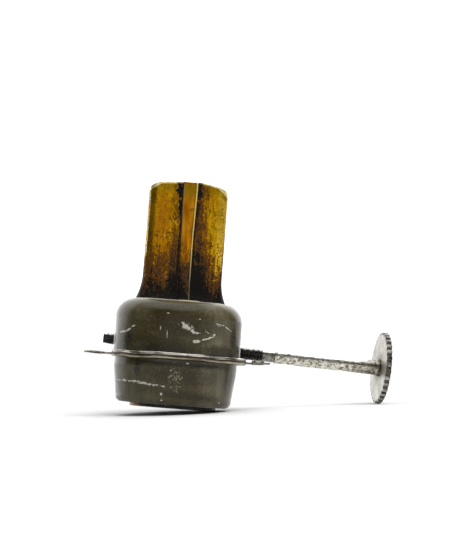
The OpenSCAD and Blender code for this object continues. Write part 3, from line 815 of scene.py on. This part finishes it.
def drum_grid(slot_height, line, count=320):
    """Rows of a drum half: from the wick tube's outline out to a circle, then the line of
    (radius, height) carried round."""
    radii, heights, angles = turned(line, count)
    edge = slot_edge(angles[0], tube_w, tube_d)
    share = np.linspace(0, 1, 14)[:-1, None]
    flat = edge * (1 - share) + line[0, 0] * share
    radii = np.concatenate([flat, radii])
    heights = np.concatenate([np.full(flat.shape, slot_height), heights])
    return radii, heights, np.broadcast_to(angles[0], radii.shape)


def round_grid(radii, heights, angles):
    """Points from radius, height and angle about the tube's centre line."""
    return np.stack([radii * np.cos(angles), radii * np.sin(angles), heights], -1)


def clear_of_shaft(middle):
    """Leaves a hole round the winder in the drum's side."""
    inside = 15
    return (from_shaft(middle) > shaft_hole_r) | (np.abs(middle[:, 0]) < inside)


def make_upper_shell():
    """The upper drum: a flat top, a quarter-round shoulder and a wall that swells a hair between its
    ends, pressed slightly out of true."""
    line = rounded([(drum_r - shoulder_r - 0.5, drum_top, 0), (drum_r, drum_top, shoulder_r),
                    (drum_r, rim_top - 0.5, 0)], 0.42)
    radii, heights, angles = drum_grid(drum_top, line)
    grid = round_grid(radii, heights, angles)
    wobble = 0.10 * ripple(grid, 31, 16.0) * ease(radii, 14.0, 20.0) * ease(heights, rim_top, rim_top + 4)
    dish = 0.12 * ripple(grid, 32, 9.0) * ease(heights, drum_top - 1, drum_top) * ease(radii, 12.0, 14.0)
    grid = round_grid(radii + wobble, heights + np.minimum(dish, 0.05), angles)
    return skin("upper_drum_shell", grid, "burner", upper_paint, ["upper_shell"],
                keep=clear_of_shaft, wall=sheet)


def make_lower_shell():
    """The lower drum: a flat bottom, a rounded corner, a wall that widens upwards to the neck."""
    neck_r = drum_r - 0.8
    corner_r = neck_r - 1.3
    line = rounded([(corner_r - 2.5, foot_t, 0), (corner_r, foot_t, 2.0), (neck_r, plate_z - 3.0, 3.0),
                    (neck_r, plate_z - 0.3, 0)], 0.4)
    radii, heights, angles = drum_grid(foot_t, line)
    grid = round_grid(radii, heights, angles)
    wobble = 0.08 * ripple(grid, 41, 14.0) * ease(heights, foot_t + 1, foot_t + 3)
    wobble = wobble * ease(heights, plate_z - 0.3, plate_z - 1.8)
    grid = round_grid(radii + wobble, heights, angles)
    return skin("lower_drum_shell", grid, "burner", lower_paint, ["lower_shell"], wall=sheet)


def make_rim():
    """The folded rim: a closed section with two beads and a groove between them, carried round the drum,
    rising and falling a little and thicker in places, as rolled by hand."""
    low = plate_z - 0.5
    section = rounded([(drum_r - 1.2, low + 0.3, 0), (drum_r - 0.8, low, 0.1), (rim_r, low, 0.42),
                       (rim_r, low + 0.95, 0.4), (rim_r - 0.55, low + 1.02, 0.12), (rim_r, low + 1.1, 0.4),
                       (rim_r, rim_top, 0.45), (drum_r - 0.1, rim_top, 0.3),
                       (drum_r - 0.1, rim_top - 0.6, 0)], 0.12)
    radii, heights, angles = turned(section, 400)
    grid = round_grid(radii, heights, angles)
    outer = ease(radii, drum_r - 0.3, rim_r)
    lift = 0.10 * ripple(round_grid(rim_r, 0.0 * angles, angles), 51, 12.0) * outer
    swell = 0.07 * ripple(grid, 52, 6.0) * outer
    grid = round_grid(radii + np.minimum(swell, 0.03), heights + lift, angles)
    grid[..., 0] += rim_shift * outer
    return skin("folded_rim", grid, "burner", rim_steel, rows_meet=True,
                marks={"rim_height": heights - low})


# ---- ears and eyelets ----

def bent(points, side):
    """Bends an ear up or down along its length, by the square of the distance out from the rim."""
    points = points + [ear_shift, 0, 0]
    out = np.clip((points[..., 0] * side - rim_r) / (ear_x + ear_r - rim_r), 0, 1)
    twist = 0.03 * points[..., 1] * out
    return points + np.stack([0 * out, 0 * out, ear_bends[side] * out ** 1.3 + twist], -1)


def make_ear(side):
    """One ear of the plate: a closed section from the hole out to the ear's outline and back below,
    with softened edges, for every direction round the hole."""
    angles = np.linspace(0, TURN, 180, endpoint=False)
    inward = np.cos(angles) * side < 0
    sin, cos = np.maximum(np.abs(np.sin(angles)), 1e-6), np.maximum(np.abs(np.cos(angles)), 1e-6)
    bar = np.minimum(ear_r / sin, (ear_x - drum_r + 1.2) / cos)
    edge = np.where(inward, bar, ear_r)
    half = plate_t / 2
    shares = np.linspace(0, 1, 9)[:, None]
    flat = eyelet_hole_r + (edge - 0.16 - eyelet_hole_r) * shares
    lip = np.stack([edge - 0.05, edge, edge - 0.05])
    radii = np.concatenate([flat, lip, flat[::-1]])
    level = np.concatenate([np.full(9, half), [half * 0.75, 0, -half * 0.75], np.full(9, -half)])
    heights = np.broadcast_to(level[:, None], radii.shape) + plate_z + half
    points = np.stack([side * ear_x + radii * np.cos(angles), radii * np.sin(angles), heights], -1)
    points[..., 2] += 0.05 * ripple(points * [1, 1, 0], 61 + side, 5.0)
    return bent(points, side)


def make_eyelet(side):
    """A rolled eyelet in the ear: a closed section, up the bore, over a domed lip, down to the ear, and
    the same smaller below, carried round the hole."""
    top = plate_z + plate_t
    lip = 0.70 if side > 0 else 0.16
    bore = eyelet_hole_r
    section = rounded([(bore, plate_z - 0.2, 0), (bore, top + lip, 0.06), (1.85, top + lip, 0.08),
                       (2.2, top + 0.02, 0.06), (1.95, top - 0.1, 0.05), (1.9, plate_z + 0.1, 0.05),
                       (2.2, plate_z - 0.02, 0.05), (1.9, plate_z - 0.2, 0.06),
                       (bore, plate_z - 0.2, 0)], 0.1)
    radii, heights, angles = turned(section[:-1], 64)
    grid = round_grid(radii, heights, angles) + [side * ear_x, 0, 0]
    return bent(grid, side)


def make_foot_disc():
    """The foot: a thin disc with softened edges round the wick tube's foot, a closed section from the
    tube out and back."""
    section = np.array([(0, 0.0, foot_t), (0.5, 0.0, foot_t), (1, -0.2, foot_t), (1, -0.05, foot_t - 0.08),
                        (1, 0.0, foot_t - 0.25), (1, 0.0, 0.3), (1, -0.06, 0.1), (1, -0.25, 0.0),
                        (0.5, 0.0, 0.0), (0, 0.0, 0.0)])
    angles = np.linspace(0, TURN, 200, endpoint=False)
    edge = slot_edge(angles, tube_w, tube_d)
    radii = edge + (foot_r - edge) * section[:, :1] + section[:, 1:2]
    radii = np.maximum(radii, edge)
    heights = np.broadcast_to(section[:, 2:], radii.shape)
    grid = round_grid(radii, heights, angles)
    return skin("foot_disc_plate", grid, "burner", foot_black, ["foot_disc"], rows_meet=True)


# ---- bearings and winder ----

hub_at = station_range("wheel_hub")[0]
sleeve_r = shaft_radius("stem_sleeve")
collar_r = shaft_radius("stem_collar")


def shaft_piece(name, line, count, body, material, nodes, shape=None, rows_meet=True, stained=False):
    """A piece on the winder's axis from its line of (station, radius); shape(stations, radii, angles)
    may work the radius over."""
    stations, radii, angles = turned(np.asarray(line), count)
    if shape is not None:
        radii = shape(stations, radii, angles)
    marks = {"upward": np.cos(angles)}
    if stained:
        marks["near_hub"] = ease(stations, hub_at - 12, hub_at + 1)
    return skin(name, on_shaft(stations, radii, angles), body, material, nodes, rows_meet=rows_meet,
                marks=marks)


def make_stub():
    """The blind bearing on the left: an eight-sided taper with softened corners, closed at its tip,
    bored for the spindle's end."""
    tip, inner = station_range("end_bearing")
    wall = 1.0 - math.sqrt(drum_r ** 2 - shaft_at[1] ** 2)
    bore_end = station_range("winder_spindle")[0] - 0.15
    tip_r, root_r, neck_r, bore_r = 1.85, 2.32, 1.95, 1.58
    line = rounded([(tip, 0.0, 0), (tip, tip_r, 0.25), (wall, root_r, 0.1), (wall, neck_r, 0.1),
                    (inner - 0.1, neck_r, 0.1), (inner - 0.1, bore_r, 0.1), (bore_end, bore_r, 0.2),
                    (bore_end, 0.0, 0)], 0.12)

    def faceted(stations, radii, angles):
        part = TURN / 8
        off = np.abs((angles % part) - part / 2)
        flat = math.cos(part / 2) / np.cos(part / 2 - off)
        share = ease(radii, 1.6, tip_r) * (stations < wall + 0.05)
        return radii * (1 - share + share * np.minimum(flat * 1.02, 1.0))

    return shaft_piece("stub_bearing", line, 96, "burner", black_steel, ["end_bearing"],
                       faceted, rows_meet=False)


def make_gland():
    """The packing gland: a sleeve with ridges round it, each a little uneven, and a softened end."""
    start, end = station_range("gland_nut")
    groove_r, ridge_h, pitch = 2.10, 0.17, 0.92
    ridges = np.arange(start + 0.25, end - 0.35, 0.07)
    swell = groove_r + ridge_h * np.abs(np.cos(math.pi * (ridges - start) / pitch)) ** 0.8
    outer = np.stack([ridges, swell], 1)
    head = np.array([(start, 1.98), (start, 2.15)])
    tail = np.array([(end - 0.25, 2.25), (end - 0.08, 2.2), (end, 2.05), (end, 1.8), (end, 1.62),
                     (end - 0.9, 1.62), (end - 1.0, 1.98)])

    def uneven(stations, radii, angles):
        ring = np.stack([stations * 1.6, 2.3 * np.cos(angles), 2.3 * np.sin(angles)], -1)
        return radii + np.where(radii > 2.06, 0.05 * np.minimum(ripple(ring, 71, 2.2), 0.6), 0)

    return shaft_piece("ridged_gland", np.concatenate([head, outer, tail]), 72, "burner",
                       black_steel, ["gland_nut"], uneven)


def make_collar():
    """The bright neck between the gland and the sleeve, with softened ends."""
    start, end = station_range("stem_collar")
    line = rounded([(start, spindle_r, 0), (start, collar_r, 0.2), (end, collar_r, 0.1),
                    (end, spindle_r, 0.1), (start, spindle_r, 0)], 0.3)
    return shaft_piece("winder_collar", line[:-1], 64, "winder", smooth_steel,
                       ["stem_collar"])


def make_sleeve():
    """The pitted sleeve: a long tube with a raised ring at its inner end, dented all over."""
    start, end = station_range("stem_sleeve")
    end += 0.05
    outer = rounded([(start, spindle_r, 0), (start, sleeve_r + 0.1, 0.12),
                     (start + 0.5, sleeve_r + 0.1, 0.15), (start + 0.8, sleeve_r - 0.1, 0.15),
                     (end, sleeve_r + 0.05, 0.05), (end, spindle_r, 0)], 0.2)

    def pitted(stations, radii, angles):
        place = np.stack([stations, 2.25 * np.cos(angles), 2.25 * np.sin(angles)], -1)
        small = ripple(place, 81, 1.6, 22)
        large = ripple(place, 82, 5.0, 10)
        return radii + np.where(radii > 1.9, 0.030 * np.minimum(small, 0.5) + 0.03 * large, 0)

    return shaft_piece("pitted_sleeve", outer[:-1], 72, "winder", pitted_steel,
                       ["stem_sleeve"], pitted, stained=True)


def make_hub():
    """The swelling where the sleeve meets the wheel."""
    start, end = station_range("wheel_hub")
    hub_r = 2.9
    line = rounded([(start, spindle_r, 0), (start, sleeve_r + 0.1, 0.15), (start + 0.7, hub_r, 0.4),
                    (end, hub_r, 0.2), (end, spindle_r, 0)], 0.15)
    return shaft_piece("wheel_boss", line, 64, "winder", pitted_steel, ["wheel_hub"],
                       stained=True)


def make_wheel():
    """The thumb wheel: a disc whose rim is cut by round notches. In each direction the rim's radius is
    the wheel's, or the near side of the notch's circle; the faces dish slightly and the edges are soft."""
    start, end = station_range("thumb_wheel")
    outer = shaft_radius("thumb_wheel")
    notch_r, notch_at, notches = 0.75, outer + 0.25, 32
    count = notches * 14
    angles = np.linspace(0, TURN, count, endpoint=False)
    off = (angles + TURN / notches / 2) % (TURN / notches) - TURN / notches / 2
    inside = np.maximum(notch_r ** 2 - (notch_at * np.sin(off)) ** 2, 0)
    notch = np.where(inside > 0, notch_at * np.cos(off) - np.sqrt(inside), outer)
    edge = np.minimum(notch, outer)
    face = np.array([(0, 0, 0), (0.25, 0, 0), (0.5, 0, 0.05), (0.7, 0, 0.08), (0.85, 0, 0.05), (1, 0.9, 0),
                     (1, 0.3, 0), (1, 0.1, 0.06), (1, 0, 0.25)])
    near, far = face + [0, 0, start], face[::-1] * [1, 1, -1] + [0, 0, end]
    rows = np.concatenate([near, [(1, 0, (start + end) / 2)], far])
    radii = spindle_r + (edge - spindle_r) * rows[:, :1] - rows[:, 1:2]
    stations = np.broadcast_to(rows[:, 2:], radii.shape)
    turn = np.broadcast_to(angles, radii.shape)
    grid = on_shaft(stations, radii, turn)
    on_rim = ease(radii, edge - 0.5, edge - 0.2) * np.ones(turn.shape)
    marks = {"in_notch": on_rim * ease(outer - edge, 0.08, 0.3), "on_rim": on_rim,
             "near_hub": ease(radii, 7.0, 3.0)}
    return skin("notched_wheel", grid, "winder", wheel_steel, ["thumb_wheel"], rows_meet=True,
                marks=marks)


make_wick_tube()
make_tube_skirt()
make_seam_strip()
make_upper_shell()
make_lower_shell()
make_rim()
for side, label in ((-1, "left"), (1, "right")):
    for part, make, node in (("_ear", make_ear, "flange_plate"), ("_eyelet", make_eyelet, "ear_eyelets")):
        skin(label + part, make(side), "burner", ear_steel, [node], rows_meet=True)
make_foot_disc()
make_stub()
make_gland()
make_collar()
make_sleeve()
make_hub()
make_wheel()

kept = {
    "end_lock_nut": inner_steel, "gland_lock_nut": inner_steel, "gland_body": inner_steel,
    "gland_washer": black_steel, "gland_packing": packing_black, "winder_spindle": smooth_steel,
    "cog_left": cog_brass, "cog_right": cog_brass, "cog_spacer": smooth_steel, "end_washer": washer_steel,
}
for name, material in kept.items():
    mesh = frame["nodes"][name].data
    mesh.materials.clear()
    mesh.materials.append(material)


# ---- floor, light and camera ----

def lean():
    """Slopes of the floor along X and Y, and its height under the tube. It touches the foot disc's edge
    on the side that the winder's weight pulls down, and the lowest point of the wheel's rim."""
    turn = math.radians(7)
    way = np.array([math.cos(turn), math.sin(turn)])
    wheel = vertices("thumb_wheel")
    slope = (wheel[:, 2] / (wheel[:, :2] @ way - foot_r)).min()
    return slope * way[0], slope * way[1], -slope * foot_r


def make_floor():
    """A pale level sheet that the burner leans on, square and far larger than the burner."""
    along, away, height = lean()
    reach = 4000.0
    points = [(x * MM, y * MM, (along * x + away * y + height) * MM)
              for x, y in ((-reach, -reach), (reach, -reach), (reach, reach), (-reach, reach))]
    mesh = bpy.data.meshes.new("floor")
    mesh.from_pydata(points, [], [(0, 1, 2, 3)])
    f = Finish("pale board")
    f.colour = f.over(f.cloud(40.0, 1.0), (0.57, 0.57, 0.57), (0.59, 0.59, 0.59))
    mesh.materials.append(f.done(Metallic=0.0, Roughness=0.3, Specular_IOR_Level=0.0))
    add("floor", mesh)


def make_sky():
    """A white room behind and above, darker on the side that the burner's front faces, with a paler low
    part there."""
    world = bpy.data.worlds.new("studio")
    bpy.context.scene.world = world
    world.use_nodes = True
    w = Wires(world.node_tree)
    w.tree.nodes.clear()
    across, depth, up = w.parts(w.put("ShaderNodeTexCoord").outputs["Generated"])
    front, back = w.step(depth, -0.20, -0.48), w.step(depth, 0.34, 0.56)
    high = w.all_of(front, w.span(up, 0.44, 0.74, 0.10))
    low = w.all_of(front, w.span(across, -0.55, 0.40, 0.15), w.step(up, 0.50, 0.34))
    colour = w.over(back, (0.16, 0.16, 0.165), (1.9, 1.9, 1.9))
    colour = w.over(low, colour, (0.66, 0.66, 0.67))
    colour = w.over(high, colour, (0.05, 0.05, 0.05))
    colour = w.over(w.step(up, 0.68, 0.86), colour, (1.9, 1.9, 1.9))
    glow = w.node("ShaderNodeBackground", {0: colour})
    w.feed(w.put("ShaderNodeOutputWorld").inputs[0], glow)


def make_light(name, kind, place, target, power, **settings):
    """Puts a light in the scene, pointing from its place to a target."""
    light = bpy.data.lights.new(name, kind)
    light.energy = power
    for label, value in settings.items():
        setattr(light, label, value)
    made = add(name, light)
    made.location = place
    made.rotation_euler = (Vector(target) - Vector(place)).to_track_quat("-Z", "Y").to_euler()
    return made


def make_camera():
    """A long lens in front, a little to the left and below level, rolled with the leaning burner."""
    yaw, tilt, roll, distance = math.radians(8.67), math.radians(-3.2), math.radians(4.33), 667.8
    target = Vector((15.6, -2.9, 45.4))
    back = Vector((-math.sin(yaw) * math.cos(tilt), -math.cos(yaw) * math.cos(tilt), math.sin(tilt)))
    right = Vector((math.cos(yaw), -math.sin(yaw), 0))
    up = back.cross(right)
    right, up = (right * math.cos(roll) + up * math.sin(roll), up * math.cos(roll) - right * math.sin(roll))
    place = (target + back * distance) * MM
    camera = bpy.data.cameras.new("camera")
    camera.sensor_width = 36
    camera.lens = 130.4
    camera.clip_start = 0.02
    made = add("camera", camera)
    made.matrix_world = Matrix.Translation(place) @ Matrix((right, up, back)).transposed().to_4x4()
    bpy.context.scene.camera = made


make_floor()
make_sky()
make_light("overhead", "AREA", (-0.15, -0.25, 1.0), (0.02, 0, 0.03), 1.5, size=0.9)
window_light = make_light("window", "SUN", (0.26, -0.9, 1.1), (0, 0, 0), 2.7, angle=math.radians(48))
window_light.visible_glossy = False
make_camera()
bpy.context.scene.view_settings.view_transform = "Standard"
